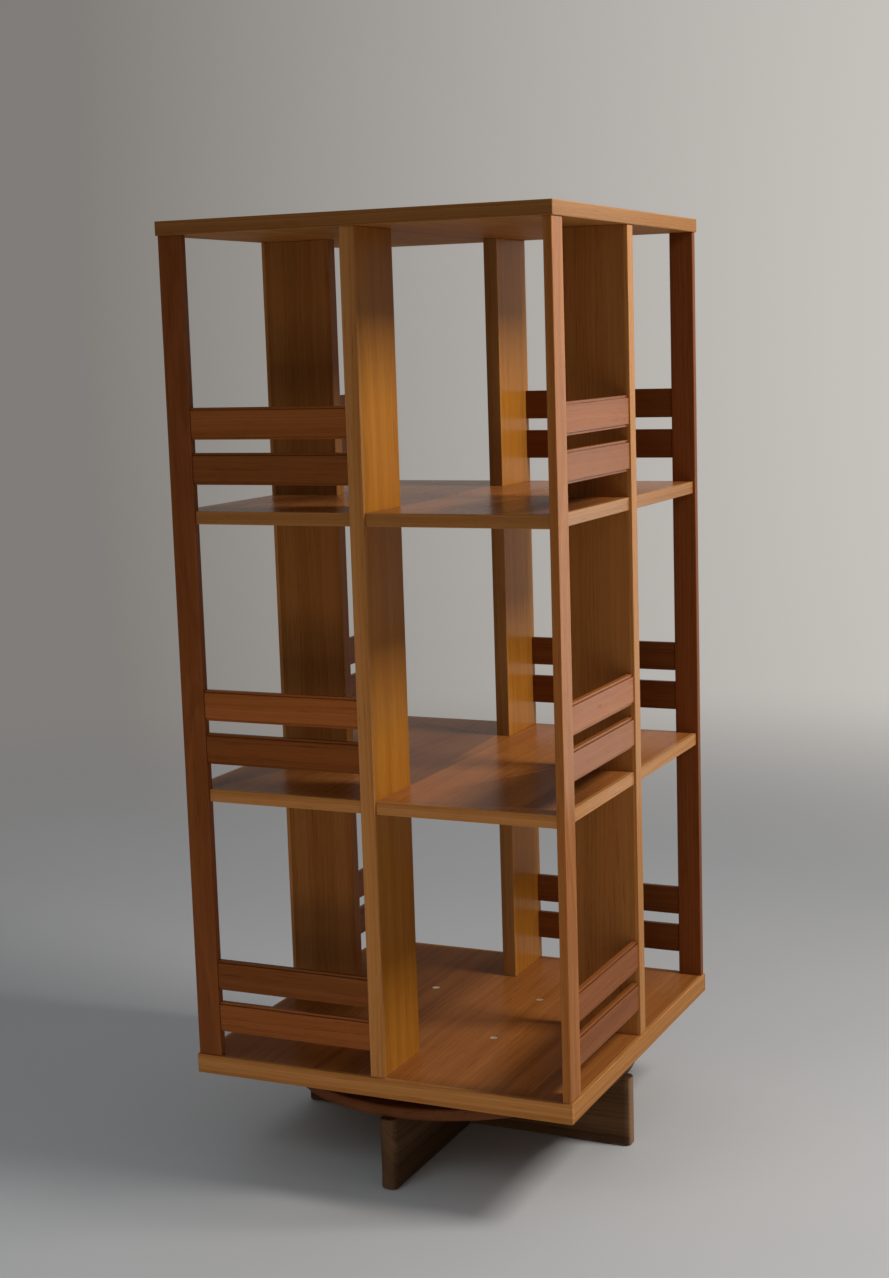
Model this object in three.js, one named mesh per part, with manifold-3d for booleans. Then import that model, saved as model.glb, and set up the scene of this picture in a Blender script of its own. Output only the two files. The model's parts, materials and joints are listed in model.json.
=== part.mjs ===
// Rotating display rack: a square three-tier wooden rack that turns on a ball-bearing swivel above a
// round base disc and a crossed pair of feet. Millimetres, +Z up, origin on the floor under the
// turning axis. The front face looks along -Y.
//
// All four faces are alike and follow each other like a pinwheel. On every face, seen from outside,
// a narrow corner board stands at the left end, a divider board stands on edge in the middle, pairs
// of slats run between the two, and the right half is open for books.

import * as THREE from 'three';
import { mergeVertices } from 'three/addons/utils/BufferGeometryUtils.js';
import Module from 'manifold-3d';

const wasm = await Module();
wasm.setup();

// ---- driving dimensions -------------------------------------------------------------------------

const PANEL_SIDE = 480;
const TOP_THICKNESS = 16;
const SHELF_THICKNESS = 15;
const BOTTOM_THICKNESS = 23;
const TIER_HEIGHT = 309; // clear height between two boards
const TIER_NAMES = ['bottom', 'middle', 'top'];
const FACE_NAMES = ['front', 'right', 'back', 'left'];

const BOARD_INSET = 2; // upright boards behind the panel edges
const SHELF_INSET = 5; // shelf edges behind the panel edges
const CORNER_BOARD_WIDTH = 30;
const CORNER_BOARD_THICKNESS = 10;
const DIVIDER_THICKNESS = 18;
const DIVIDER_DEPTH = 92;

const SLAT_HEIGHT = 36;
const SLAT_GAP = 15; // between the two slats of a pair
const SLAT_RISE = 30; // lower slat above the board under it
const SLAT_THICKNESS = 8;
const SLAT_SETBACK = 1.5; // slat face behind the corner board's face
const SLAT_LIP_HEIGHT = 3; // rebate along both long edges
const SLAT_LIP_DEPTH = 2;

const GLIDE_RADIUS = 8;
const GLIDE_THICKNESS = 1.5;
const FOOT_LENGTH = 445;
const FOOT_THICKNESS = 21;
const FOOT_TOP = 86; // above the floor
const FOOT_END_RADIUS = 8;
const DISC_RADIUS = 215;
const DISC_THICKNESS = 14;
const DISC_EDGE_RADIUS = 2.5;

const SWIVEL_HEIGHT = 20;
const PLATE_SIDE = 170;
const PLATE_CORNER_RADIUS = 12;
const SHEET = 2; // swivel plate steel
const BALL_COUNT = 12;
const BALL_RADIUS = 4;
const RACE_RADIUS = 62; // circle of ball centres
const RACE_PLAY = 0.2; // race groove over the ball
const PLATFORM_OFFSET = 3; // each plate's platform from the swivel's middle
const PLATFORM_RIM = 8; // platform's edge outside the ball circle
const PRESSING_FOOT = 12; // end of the pressed slope outside the ball circle
const PRESSING_BRIM = 15; // flat brim that joins the square flange
const CAGE_WIDTH = 11;
const CAGE_THICKNESS = 1.2;
const RIVET_RADIUS = 5;
const RIVET_HEAD_RADIUS = 9;
const RIVET_HEAD_HEIGHT = 3;
const RIVET_COLLAR_RADIUS = 7.5;

const PLATE_SCREW_OFFSET = 73; // from the axis, along X and along Y
const DISC_SCREW_REACH = 150; // from the axis, along each foot
const GLIDE_REACH = 205;

const JOINT_GAP = 0.3; // hairline left around fitted pieces

// Straight sides that stand for a full turn.
const DISC_SIDES = 72;
const PLATE_SIDES = 36;
const BALL_SIDES = 10;
const SCREW_SIDES = 12;

// ---- derived levels and places ------------------------------------------------------------------

const HALF = PANEL_SIDE / 2;
const DISC_TOP = FOOT_TOP + DISC_THICKNESS;
const RACK_BASE = DISC_TOP + SWIVEL_HEIGHT;
const SWIVEL_MIDDLE = DISC_TOP + SWIVEL_HEIGHT / 2;
const FLOOR_OF_TIER = [RACK_BASE + BOTTOM_THICKNESS];
for (let tier = 1; tier < TIER_NAMES.length; tier += 1) {
  FLOOR_OF_TIER.push(FLOOR_OF_TIER[tier - 1] + TIER_HEIGHT + SHELF_THICKNESS);
}
const UPRIGHT_BOTTOM = FLOOR_OF_TIER[0];
const TOP_UNDERSIDE = FLOOR_OF_TIER.at(-1) + TIER_HEIGHT;
const UPRIGHT_HEIGHT = TOP_UNDERSIDE - UPRIGHT_BOTTOM;
const BALL_GROOVE_RADIUS = BALL_RADIUS + RACE_PLAY;

// Screws: countersunk or pan head, plain shank, all measured down from the top of the head.
const RACK_SCREW = { headRadius: 4.8, headHeight: 2.7, shankRadius: 2.5, length: 27, countersunk: true };
const PLATE_SCREW = { headRadius: 4.4, headHeight: 2.4, shankRadius: 1.9, length: 13.5, countersunk: false };
const DISC_SCREW = { headRadius: 4.4, headHeight: 2.6, shankRadius: 2.1, length: 38, countersunk: true };
const HEAD_SINK = 0.3; // countersunk heads below the surface
const SCREW_POINT = 3;
const PAN_HEAD_CROWN = 0.35; // rounded-off share of a pan head's height and radius
const GLIDE_NAIL = { radius: 1.1, length: 12 };
const RECESS = { length: 5, width: 1.1, depth: 1.5 }; // cross recess in a screw head

// ---- materials ----------------------------------------------------------------------------------

const WOOD_FINISH = { roughness: 0.5, metalness: 0 };
const STEEL_FINISH = { roughness: 0.35, metalness: 0.9 };
const FINISHES = {
  panel: { color: 0x8a5228, ...WOOD_FINISH },
  upright: { color: 0x96592b, ...WOOD_FINISH },
  slat: { color: 0x7d4526, ...WOOD_FINISH },
  disc: { color: 0x4a2a1c, ...WOOD_FINISH },
  foot: { color: 0x3a2818, ...WOOD_FINISH },
  screw: { color: 0xc9c4b6, ...STEEL_FINISH },
  plate: { color: 0x8d9093, ...STEEL_FINISH },
  bearing: { color: 0xb9bcc0, ...STEEL_FINISH },
  glide: { color: 0x9a9c9e, ...STEEL_FINISH },
};

// ---- helpers ------------------------------------------------------------------------------------

function toSolid(geometry) {
  const bare = geometry.clone();
  bare.deleteAttribute('normal');
  bare.deleteAttribute('uv');
  const merged = mergeVertices(bare);
  const vertProperties = new Float32Array(merged.attributes.position.array);
  const triVerts = new Uint32Array(merged.index.array);
  return new wasm.Manifold(new wasm.Mesh({ numProp: 3, vertProperties, triVerts }));
}

function toGeometry(solid) {
  const result = solid.getMesh();
  const geometry = new THREE.BufferGeometry();
  geometry.setAttribute('position', new THREE.BufferAttribute(result.vertProperties, 3));
  geometry.setIndex(new THREE.BufferAttribute(result.triVerts, 1));
  geometry.computeVertexNormals();
  return geometry;
}

function cut(geometry, cutters) {
  const left = cutters.reduce((solid, cutter) => solid.subtract(toSolid(cutter)), toSolid(geometry));
  return toGeometry(left);
}

function join(geometries) {
  return toGeometry(geometries.map(toSolid).reduce((whole, solid) => whole.add(solid)));
}

function mesh(name, geometry, finish, x = 0, y = 0, z = 0) {
  const piece = new THREE.Mesh(geometry, new THREE.MeshStandardMaterial(FINISHES[finish]));
  piece.name = name;
  piece.position.set(x, y, z);
  return piece;
}

// A box given by its low corner and its size.
function block(low, size) {
  const centre = low.map((value, axis) => value + size[axis] / 2);
  return new THREE.BoxGeometry(...size).translate(...centre);
}

function outlineShape(points) {
  return new THREE.Shape(points.map(([x, y]) => new THREE.Vector2(x, y)));
}

function extrudeUp(shape, height) {
  return new THREE.ExtrudeGeometry(shape, { depth: height, bevelEnabled: false, curveSegments: 6 });
}

// Turns a profile of [radius, z] points about the Z axis. Points run upwards on the outside.
function turned(points, segments) {
  const profile = points.map(([radius, z]) => new THREE.Vector2(radius, z));
  return new THREE.LatheGeometry(profile, segments).rotateX(Math.PI / 2);
}

function rod(radius, low, high, segments) {
  return turned([[0, low], [radius, low], [radius, high], [0, high]], segments);
}

function roundedRectangle(width, depth, radius) {
  const x = width / 2 - radius;
  const y = depth / 2 - radius;
  const shape = new THREE.Shape();
  shape.absarc(x, y, radius, 0, Math.PI / 2);
  shape.absarc(-x, y, radius, Math.PI / 2, Math.PI);
  shape.absarc(-x, -y, radius, Math.PI, 1.5 * Math.PI);
  shape.absarc(x, -y, radius, 1.5 * Math.PI, 2 * Math.PI);
  shape.closePath();
  return shape;
}

function quarterTurned([x, y], quarters) {
  let point = [x, y];
  for (let quarter = 0; quarter < quarters; quarter += 1) {
    point = [-point[1], point[0]];
  }
  return point;
}

// The four places that a single place takes when it is turned about the axis by quarter turns.
function aroundAxis(place) {
  return FACE_NAMES.map((_, quarter) => quarterTurned(place, quarter));
}

// ---- screws and glides --------------------------------------------------------------------------

// The head's top is at z = 0 and the point hangs below it.
function screwProfile({ headRadius, headHeight, shankRadius, length, countersunk }) {
  const shank = [[0, -length], [shankRadius, SCREW_POINT - length], [shankRadius, -headHeight]];
  const flatHead = [[headRadius, -HEAD_SINK], [headRadius, 0], [0, 0]];
  const panHead = [
    [headRadius, -headHeight],
    [headRadius, -headHeight * PAN_HEAD_CROWN],
    [headRadius * (1 - PAN_HEAD_CROWN), 0],
    [0, 0],
  ];
  return [...shank, ...(countersunk ? flatHead : panHead)];
}

function screwGeometry(screw) {
  const { length, width, depth } = RECESS;
  const arms = [
    block([-length / 2, -width / 2, -depth], [length, width, 2 * depth]),
    block([-width / 2, -length / 2, -depth], [width, length, 2 * depth]),
  ];
  return cut(turned(screwProfile(screw), SCREW_SIDES), arms);
}

// The hole that a screw needs, its mouth open above the surface it is driven from.
function screwHole({ headRadius, headHeight, shankRadius, length, countersunk }) {
  const bore = shankRadius + JOINT_GAP;
  const mouth = headRadius + JOINT_GAP;
  const bottom = -length - 1;
  if (!countersunk) {
    return rod(bore, bottom, 1, SCREW_SIDES);
  }
  const cone = [[bore, -headHeight], [mouth, -HEAD_SINK]];
  return turned([[0, bottom], [bore, bottom], ...cone, [mouth, 1], [0, 1]], SCREW_SIDES);
}

function holesAt(screw, places, z) {
  return places.map(([x, y]) => screwHole(screw).translate(x, y, z));
}

function glideGeometry() {
  const edge = GLIDE_THICKNESS / 2;
  const nailTop = GLIDE_THICKNESS + GLIDE_NAIL.length;
  return turned([
    [0, 0],
    [GLIDE_RADIUS - edge, 0],
    [GLIDE_RADIUS, edge],
    [GLIDE_RADIUS, GLIDE_THICKNESS],
    [GLIDE_NAIL.radius, GLIDE_THICKNESS],
    [GLIDE_NAIL.radius, nailTop - SCREW_POINT],
    [0, nailTop],
  ], SCREW_SIDES);
}

// ---- rack: panels and shelves -------------------------------------------------------------------

const PLATE_SCREW_PLACES = aroundAxis([PLATE_SCREW_OFFSET, -PLATE_SCREW_OFFSET]);

function panel(thickness) {
  return block([-HALF, -HALF, 0], [PANEL_SIDE, PANEL_SIDE, thickness]);
}

function bottomPanel() {
  const holes = holesAt(RACK_SCREW, PLATE_SCREW_PLACES, BOTTOM_THICKNESS - HEAD_SINK);
  return cut(panel(BOTTOM_THICKNESS), holes);
}

// A square notched round the corner board and slotted round the divider of every face.
function shelfGeometry() {
  const edge = HALF - SHELF_INSET;
  const notchEnd = HALF - BOARD_INSET - CORNER_BOARD_WIDTH - JOINT_GAP;
  const notchFloor = HALF - BOARD_INSET - CORNER_BOARD_THICKNESS - JOINT_GAP;
  const slotHalf = DIVIDER_THICKNESS / 2 + JOINT_GAP;
  const slotFloor = HALF - BOARD_INSET - DIVIDER_DEPTH - JOINT_GAP;
  const frontEdge = [
    [-edge, -notchFloor],
    [-notchEnd, -notchFloor],
    [-notchEnd, -edge],
    [-slotHalf, -edge],
    [-slotHalf, -slotFloor],
    [slotHalf, -slotFloor],
    [slotHalf, -edge],
  ];
  const outline = FACE_NAMES.flatMap((_, face) => frontEdge.map((point) => quarterTurned(point, face)));
  return extrudeUp(outlineShape(outline), SHELF_THICKNESS);
}

// ---- rack: one face -----------------------------------------------------------------------------

// Drawn for the front face: X runs along the face, Y runs inwards, and the caller turns it.

function cornerBoard() {
  const low = [BOARD_INSET - HALF, BOARD_INSET - HALF, UPRIGHT_BOTTOM];
  return block(low, [CORNER_BOARD_WIDTH, CORNER_BOARD_THICKNESS, UPRIGHT_HEIGHT]);
}

function divider() {
  const low = [-DIVIDER_THICKNESS / 2, BOARD_INSET - HALF, UPRIGHT_BOTTOM];
  return block(low, [DIVIDER_THICKNESS, DIVIDER_DEPTH, UPRIGHT_HEIGHT]);
}

// A flat slat whose outer face is rebated along its top and bottom edges.
function slatGeometry() {
  const start = BOARD_INSET - HALF + CORNER_BOARD_WIDTH + JOINT_GAP;
  const end = -DIVIDER_THICKNESS / 2 - JOINT_GAP;
  const section = outlineShape([
    [0, SLAT_LIP_HEIGHT],
    [SLAT_LIP_DEPTH, SLAT_LIP_HEIGHT],
    [SLAT_LIP_DEPTH, 0],
    [SLAT_THICKNESS, 0],
    [SLAT_THICKNESS, SLAT_HEIGHT],
    [SLAT_LIP_DEPTH, SLAT_HEIGHT],
    [SLAT_LIP_DEPTH, SLAT_HEIGHT - SLAT_LIP_HEIGHT],
    [0, SLAT_HEIGHT - SLAT_LIP_HEIGHT],
  ]);
  // The section is drawn in (depth, height) and swept along the face.
  const swept = extrudeUp(section, end - start).rotateX(Math.PI / 2).rotateZ(Math.PI / 2);
  return swept.translate(start, BOARD_INSET + SLAT_SETBACK - HALF, 0);
}

function rackFace(face) {
  const side = FACE_NAMES[face];
  const group = new THREE.Group();
  group.rotation.z = face * Math.PI / 2;
  group.add(mesh(`corner_board_${side}`, cornerBoard(), 'upright'));
  group.add(mesh(`divider_${side}`, divider(), 'upright'));
  TIER_NAMES.forEach((tier, index) => {
    const lower = FLOOR_OF_TIER[index] + SLAT_RISE;
    const upper = lower + SLAT_HEIGHT + SLAT_GAP;
    group.add(mesh(`slat_${side}_${tier}_lower`, slatGeometry(), 'slat', 0, 0, lower));
    group.add(mesh(`slat_${side}_${tier}_upper`, slatGeometry(), 'slat', 0, 0, upper));
  });
  return group;
}

function rackCarcass() {
  const group = new THREE.Group();
  group.add(mesh('bottom_panel', bottomPanel(), 'panel', 0, 0, RACK_BASE));
  group.add(mesh('lower_shelf', shelfGeometry(), 'panel', 0, 0, FLOOR_OF_TIER[1] - SHELF_THICKNESS));
  group.add(mesh('upper_shelf', shelfGeometry(), 'panel', 0, 0, FLOOR_OF_TIER[2] - SHELF_THICKNESS));
  group.add(mesh('top_panel', panel(TOP_THICKNESS), 'panel', 0, 0, TOP_UNDERSIDE));
  FACE_NAMES.forEach((_, face) => group.add(rackFace(face)));
  PLATE_SCREW_PLACES.forEach(([x, y], index) => {
    const z = UPRIGHT_BOTTOM - HEAD_SINK;
    group.add(mesh(`rack_screw_${index + 1}`, screwGeometry(RACK_SCREW), 'screw', x, y, z));
  });
  return group;
}

// ---- swivel -------------------------------------------------------------------------------------

// Half of the swivel: a square steel flange whose middle is pressed up into a round platform with a
// ball groove. z = 0 is its mounting face, and the groove opens upwards.
function swivelPlate(boreRadius, screw) {
  const platform = SWIVEL_HEIGHT / 2 - PLATFORM_OFFSET;
  const underside = platform - SHEET;
  const grooveHalf = Math.sqrt(BALL_GROOVE_RADIUS ** 2 - (SWIVEL_HEIGHT / 2 - platform) ** 2);
  const grooveDip = SWIVEL_HEIGHT / 2 - BALL_GROOVE_RADIUS - SHEET;
  const footRadius = RACE_RADIUS + PRESSING_FOOT;
  const brimRadius = RACE_RADIUS + PRESSING_BRIM;
  const shoulder = RACE_RADIUS + PLATFORM_RIM;
  const groove = [];
  for (let step = 2; step >= -2; step -= 1) {
    const swing = Math.asin(grooveHalf / BALL_GROOVE_RADIUS) * step / 2;
    const radius = RACE_RADIUS + BALL_GROOVE_RADIUS * Math.sin(swing);
    groove.push([radius, SWIVEL_HEIGHT / 2 - BALL_GROOVE_RADIUS * Math.cos(swing)]);
  }
  const pressing = turned([
    [boreRadius, underside],
    [RACE_RADIUS - grooveHalf - 1, underside],
    [RACE_RADIUS - grooveHalf + 1, grooveDip],
    [RACE_RADIUS + grooveHalf - 1, grooveDip],
    [RACE_RADIUS + grooveHalf + 1, underside],
    [shoulder - 1, underside],
    [footRadius - 1, 0],
    [brimRadius, 0],
    [brimRadius, SHEET],
    [footRadius, SHEET],
    [shoulder, platform],
    ...groove,
    [boreRadius, platform],
    [boreRadius, underside],
  ], PLATE_SIDES);
  const flange = extrudeUp(roundedRectangle(PLATE_SIDE, PLATE_SIDE, PLATE_CORNER_RADIUS), SHEET);
  const window = rod(footRadius + 1, -1, SHEET + 1, PLATE_SIDES);
  const plate = join([cut(flange, [window]), pressing]);
  const hole = rod(screw.shankRadius + JOINT_GAP, -1, SHEET + 1, SCREW_SIDES);
  return cut(plate, PLATE_SCREW_PLACES.map(([x, y]) => hole.clone().translate(x, y, 0)));
}

// The flat ring that spaces the balls, with the balls held in it.
function ballCage() {
  const inner = RACE_RADIUS - CAGE_WIDTH / 2;
  const outer = RACE_RADIUS + CAGE_WIDTH / 2;
  const rim = CAGE_THICKNESS / 2;
  const ring = turned([[inner, -rim], [outer, -rim], [outer, rim], [inner, rim], [inner, -rim]], PLATE_SIDES);
  const balls = [];
  for (let ball = 0; ball < BALL_COUNT; ball += 1) {
    const angle = ball * 2 * Math.PI / BALL_COUNT;
    const sphere = new THREE.SphereGeometry(BALL_RADIUS, BALL_SIDES, 6).rotateX(Math.PI / 2);
    balls.push(sphere.translate(RACE_RADIUS * Math.cos(angle), RACE_RADIUS * Math.sin(angle), 0));
  }
  return join([ring, ...balls]);
}

// A shouldered rivet: its collar keeps the two plates apart and its heads keep them together.
// z = 0 is the middle of the swivel.
function pivotRivet() {
  const shank = RIVET_RADIUS - JOINT_GAP;
  const collar = PLATFORM_OFFSET - JOINT_GAP;
  const headStart = PLATFORM_OFFSET + SHEET + JOINT_GAP;
  const headEnd = headStart + RIVET_HEAD_HEIGHT;
  const upperHalf = [
    [RIVET_COLLAR_RADIUS, collar],
    [shank, collar],
    [shank, headStart],
    [RIVET_HEAD_RADIUS, headStart],
    [RIVET_HEAD_RADIUS - RIVET_HEAD_HEIGHT / 2, headEnd],
    [0, headEnd],
  ];
  const lowerHalf = upperHalf.map(([radius, z]) => [radius, -z]).reverse();
  return turned([...lowerHalf, ...upperHalf], PLATE_SIDES / 2);
}

// ---- base ---------------------------------------------------------------------------------------

const DISC_SCREW_PLACES = aroundAxis([0, -DISC_SCREW_REACH]);
const GLIDE_PLACES = aroundAxis([0, -GLIDE_REACH]);

function baseDisc() {
  const edge = [0, Math.PI / 4, Math.PI / 2].map((angle) => [
    DISC_RADIUS - DISC_EDGE_RADIUS * (1 - Math.sin(angle)),
    DISC_EDGE_RADIUS * (1 - Math.cos(angle)),
  ]);
  const upperEdge = edge.map(([radius, z]) => [radius, DISC_THICKNESS - z]).reverse();
  const blank = turned([[0, 0], ...edge, ...upperEdge, [0, DISC_THICKNESS]], DISC_SIDES);
  const plateScrewTop = DISC_THICKNESS + SHEET + PLATE_SCREW.headHeight;
  const plateHoles = holesAt(PLATE_SCREW, PLATE_SCREW_PLACES, plateScrewTop);
  const footHoles = holesAt(DISC_SCREW, DISC_SCREW_PLACES, DISC_THICKNESS - HEAD_SINK);
  return cut(blank, [...plateHoles, ...footHoles]);
}

// One foot board on edge, drawn at its place above the floor. Its halving notch is open at the top
// or at the bottom, and it is bored for the screws from above and the glide nails from below.
function crossFoot(lengthX, lengthY, notchAtTop) {
  const bottom = GLIDE_THICKNESS;
  const height = FOOT_TOP - GLIDE_THICKNESS;
  const middle = bottom + height / 2;
  const board = extrudeUp(roundedRectangle(lengthX, lengthY, FOOT_END_RADIUS), height);
  const notch = FOOT_THICKNESS + 2 * JOINT_GAP;
  const notchLow = notchAtTop ? middle - JOINT_GAP / 2 : bottom - 1;
  const notchHeight = height / 2 + JOINT_GAP / 2 + 1;
  const across = block([-notch / 2, -notch / 2, notchLow], [notch, notch, notchHeight]);
  const nailBore = GLIDE_NAIL.radius + JOINT_GAP;
  const nailHole = rod(nailBore, bottom - 1, bottom + GLIDE_NAIL.length + 1, SCREW_SIDES);
  const nailHoles = GLIDE_PLACES.map(([x, y]) => nailHole.clone().translate(x, y, 0));
  const screwHoles = holesAt(DISC_SCREW, DISC_SCREW_PLACES, DISC_TOP - HEAD_SINK);
  return cut(board.translate(0, 0, bottom), [across, ...nailHoles, ...screwHoles]);
}

function base() {
  const group = new THREE.Group();
  group.add(mesh('cross_foot_front_back', crossFoot(FOOT_THICKNESS, FOOT_LENGTH, false), 'foot'));
  group.add(mesh('cross_foot_left_right', crossFoot(FOOT_LENGTH, FOOT_THICKNESS, true), 'foot'));
  group.add(mesh('base_disc', baseDisc(), 'disc', 0, 0, FOOT_TOP));
  GLIDE_PLACES.forEach(([x, y], index) => {
    group.add(mesh(`floor_glide_${FACE_NAMES[index]}`, glideGeometry(), 'glide', x, y, 0));
  });
  DISC_SCREW_PLACES.forEach(([x, y], index) => {
    const z = DISC_TOP - HEAD_SINK;
    group.add(mesh(`disc_screw_${index + 1}`, screwGeometry(DISC_SCREW), 'screw', x, y, z));
  });
  PLATE_SCREW_PLACES.forEach(([x, y], index) => {
    const z = DISC_TOP + SHEET + PLATE_SCREW.headHeight;
    group.add(mesh(`plate_screw_${index + 1}`, screwGeometry(PLATE_SCREW), 'screw', x, y, z));
  });
  return group;
}

function swivel() {
  const group = new THREE.Group();
  const lower = swivelPlate(RIVET_RADIUS, PLATE_SCREW);
  const upper = swivelPlate(RIVET_RADIUS + JOINT_GAP, RACK_SCREW).rotateX(Math.PI);
  group.add(mesh('swivel_lower_plate', lower, 'plate', 0, 0, DISC_TOP));
  group.add(mesh('swivel_upper_plate', upper, 'plate', 0, 0, RACK_BASE));
  group.add(mesh('swivel_ball_cage', ballCage(), 'bearing', 0, 0, SWIVEL_MIDDLE));
  group.add(mesh('swivel_pivot_rivet', pivotRivet(), 'bearing', 0, 0, SWIVEL_MIDDLE));
  return group;
}

// ---- whole rack ---------------------------------------------------------------------------------

const group = new THREE.Group();
group.add(base(), swivel(), rackCarcass());

export default group;
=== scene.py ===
"""Looks of the rotating display rack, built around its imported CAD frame.

Every CAD node is replaced by a finer mesh of the same size in the same place. Lengths are metres.
"""

import json
import math
import random

import bmesh
import bpy
from mathutils import Matrix, Vector, noise

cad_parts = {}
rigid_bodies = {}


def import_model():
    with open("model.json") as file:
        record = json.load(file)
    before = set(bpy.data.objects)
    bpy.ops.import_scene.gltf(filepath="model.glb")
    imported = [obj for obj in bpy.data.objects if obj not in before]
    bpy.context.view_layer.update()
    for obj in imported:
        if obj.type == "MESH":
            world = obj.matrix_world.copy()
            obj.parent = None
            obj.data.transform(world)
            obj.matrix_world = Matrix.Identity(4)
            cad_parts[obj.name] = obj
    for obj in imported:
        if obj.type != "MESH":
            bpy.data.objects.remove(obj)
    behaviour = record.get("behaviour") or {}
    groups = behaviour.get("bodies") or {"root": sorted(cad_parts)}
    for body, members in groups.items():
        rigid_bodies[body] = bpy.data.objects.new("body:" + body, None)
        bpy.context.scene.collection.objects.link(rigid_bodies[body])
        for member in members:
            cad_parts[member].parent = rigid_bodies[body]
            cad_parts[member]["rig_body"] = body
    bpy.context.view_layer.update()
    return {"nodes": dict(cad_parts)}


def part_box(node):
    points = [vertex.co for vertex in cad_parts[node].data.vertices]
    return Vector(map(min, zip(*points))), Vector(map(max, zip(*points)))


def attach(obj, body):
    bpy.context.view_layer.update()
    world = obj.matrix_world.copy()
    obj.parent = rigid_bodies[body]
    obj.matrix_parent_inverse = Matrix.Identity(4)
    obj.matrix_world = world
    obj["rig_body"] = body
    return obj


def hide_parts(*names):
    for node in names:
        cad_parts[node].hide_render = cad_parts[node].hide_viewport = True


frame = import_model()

MM = 0.001
# The rack's sides, with the axis each one looks along and which way.
FACE_WAYS = {"front": ("y", -1), "right": ("x", 1), "back": ("y", 1), "left": ("x", -1)}
FACES = tuple(FACE_WAYS)
TIERS = ("bottom", "middle", "top")

# ---- mesh helpers ----------------------------------------------------

ARRIS = 0.9 * MM  # rounding of a board's edges
SUPPORT = 0.9 * MM  # plain strip next to each rounded edge, where its wear fades out
ARC_STEPS = 4
STATION_STEP = 24 * MM  # between two cross sections of a long board
# Vertex layer with each edge's wear and, below zero, the inside corners that get painted shade.
WEAR_AND_SHADE_LAYER = "edge_wear_and_shade"
SHADED_CORNER = -1.0  # value marking an inside corner, where painted shade darkens the wood
LEAST_BEND = 0.08 * MM
INSIDE_BEND = 0.25 * MM
WEAR_SCALE = 22.0  # patches of wear per metre
SHARP_ANGLE = math.radians(48)


def wear_noise(x, y, z):
    """How unevenly an edge is rubbed at this place, from 0 to 1."""
    value = noise.fractal(Vector((x, y, z)) * WEAR_SCALE, 0.9, 2.1, 3)
    return max(0.0, min(1.0, 0.5 + 0.9 * value))


def fillet_section(corners, radius, inset=0.0, worn=1.0):
    """A closed rectilinear outline with its corners rounded, as (u, v, wear) points.

    The corners run anticlockwise. inset moves every side inwards.
    """
    count = len(corners)
    points = []
    for index, corner in enumerate(corners):
        before = Vector(corners[index - 1])
        here = Vector(corner)
        after = Vector(corners[(index + 1) % count])
        way_in = (here - before).normalized()
        way_out = (after - here).normalized()
        convex = way_in.x * way_out.y - way_in.y * way_out.x > 0
        inwards = Vector((-way_in.y, way_in.x)) + Vector((-way_out.y, way_out.x))
        here = here + inwards * inset
        bend = max(radius - inset, LEAST_BEND) if convex else min(radius, INSIDE_BEND)
        wear = worn if convex else SHADED_CORNER
        start = here - way_in * (bend + SUPPORT)
        points.append((start.x, start.y, 0.0))
        centre = here - way_in * bend + way_out * bend
        for step in range(ARC_STEPS + 1):
            angle = step / ARC_STEPS * math.pi / 2
            p = centre - way_out * bend * math.cos(angle) + way_in * bend * math.sin(angle)
            share = 0.35 + 0.65 * math.sin(2 * angle) if convex else 1.0
            points.append((p.x, p.y, wear * share))
        end = here + way_out * (bend + SUPPORT)
        points.append((end.x, end.y, 0.0))
    return points


def loft(corners, length, radius=ARRIS, step=STATION_STEP, radius_at=None):
    """Sweeps a rectilinear outline along its length, with rounded ends.

    Returns the sections as (distance, [(u, v, wear)]), the two ends included.
    """
    sections = []
    arc = [math.pi / 2 * k / ARC_STEPS for k in range(ARC_STEPS + 1)]
    rounding = [(radius * (1 - math.cos(a)), radius * (1 - math.sin(a))) for a in arc]
    sections.append((0.0, fillet_section(corners, radius, radius + SUPPORT, worn=0.0)))
    for along, inset in rounding:
        sections.append((along, fillet_section(corners, radius, inset)))
    spans = max(1, round((length - 2 * radius) / step))
    for k in range(1, spans):
        along = radius + (length - 2 * radius) * k / spans
        local = radius * (radius_at(along) if radius_at else 1.0)
        sections.append((along, fillet_section(corners, local)))
    for along, inset in reversed(rounding):
        sections.append((length - along, fillet_section(corners, radius, inset)))
    sections.append((length, fillet_section(corners, radius, radius + SUPPORT, worn=0.0)))
    return sections


def mesh_of_sections(sections, place):
    """A closed bmesh through the sections; place(u, v, s) gives each point's place."""
    bm = bmesh.new()
    layer = bm.verts.layers.float.new(WEAR_AND_SHADE_LAYER)
    rings = []
    for along, points in sections:
        ring = []
        for u, v, wear in points:
            where = place(u, v, along)
            vert = bm.verts.new(where)
            vert[layer] = wear * (wear_noise(*where) if wear > 0 else 1.0)
            ring.append(vert)
        rings.append(ring)
    for low, high in zip(rings, rings[1:]):
        for k in range(len(low)):
            after = (k + 1) % len(low)
            bm.faces.new((low[k], low[after], high[after], high[k]))
    bm.faces.new(list(reversed(rings[0])))
    bm.faces.new(rings[-1])
    bmesh.ops.recalc_face_normals(bm, faces=bm.faces)
    return bm


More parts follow.
